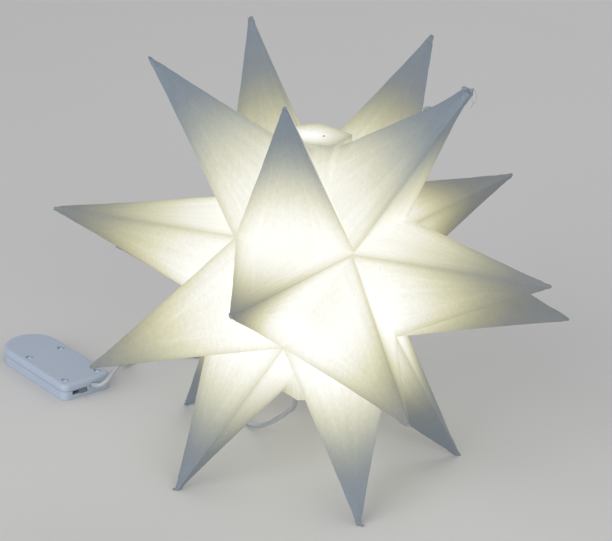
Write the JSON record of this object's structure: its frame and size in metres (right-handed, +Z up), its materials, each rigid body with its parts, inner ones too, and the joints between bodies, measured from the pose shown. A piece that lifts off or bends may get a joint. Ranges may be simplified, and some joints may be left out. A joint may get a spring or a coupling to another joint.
{
  "type": "star tree topper",
  "caption": "Hollow printed star with triangular points in two shells, lit inside by a light string on a battery case, with an open collar for a tree's top shoot.",
  "frame": {"origin": "on the surface that the star stands on, under the star's axis", "axes": "+Z up along the star's axis, -Y along one of the five upper side points, +X to the right of it"},
  "size_m": [0.2492, 0.204, 0.1655],
  "materials": {
    "star_print": "translucent white printed plastic with fine layer lines, glowing warm white from the light inside",
    "silver_wire": "fine bright wire",
    "clear_drop": "clear resin drop, lit warm white",
    "shrink_sleeve": "shrunk sleeve",
    "lead_skin": "clear soft plastic over two fine strands, grey",
    "case_plastic": "moulded white plastic, satin",
    "cell_steel": "bright rolled steel",
    "contact_strip": "plated spring strip"
  },
  "bodies": {
    "star": {"star_body": "star_print", "light_wire": "silver_wire", "led_1": "clear_drop", "led_2": "clear_drop", "led_3": "clear_drop", "led_4": "clear_drop", "led_5": "clear_drop", "led_6": "clear_drop", "led_7": "clear_drop", "led_8": "clear_drop", "led_9": "clear_drop", "led_10": "clear_drop", "splice_sleeve": "shrink_sleeve", "inner_lead": "lead_skin", "lead_cord": "lead_skin", "case_base": "case_plastic", "case_lid": "case_plastic", "case_pins": "case_plastic", "coin_cell_1": "cell_steel", "coin_cell_2": "cell_steel", "spring_contact_plus": "contact_strip", "spring_contact_minus": "contact_strip"},
    "cap": {"star_cap": "star_print"},
    "door": {"battery_door": "case_plastic", "bridge_contact": "contact_strip"},
    "switch": {"switch_slider": "case_plastic", "switch_clip": "contact_strip"}
  },
  "joints": [
    {"name": "cap_lift", "type": "slide", "parent": "star", "child": "cap", "axis": [0, 0, 1], "range_m": [0, 0.06]},
    {"name": "door_slide", "type": "slide", "parent": "star", "child": "door", "axis": [-0.848, 0.5299, 0], "range_m": [0, 0.042]},
    {"name": "switch_slide", "type": "slide", "parent": "star", "child": "switch", "axis": [-0.5299, -0.848, 0], "range_m": [0, 0.0034]}
  ]
}
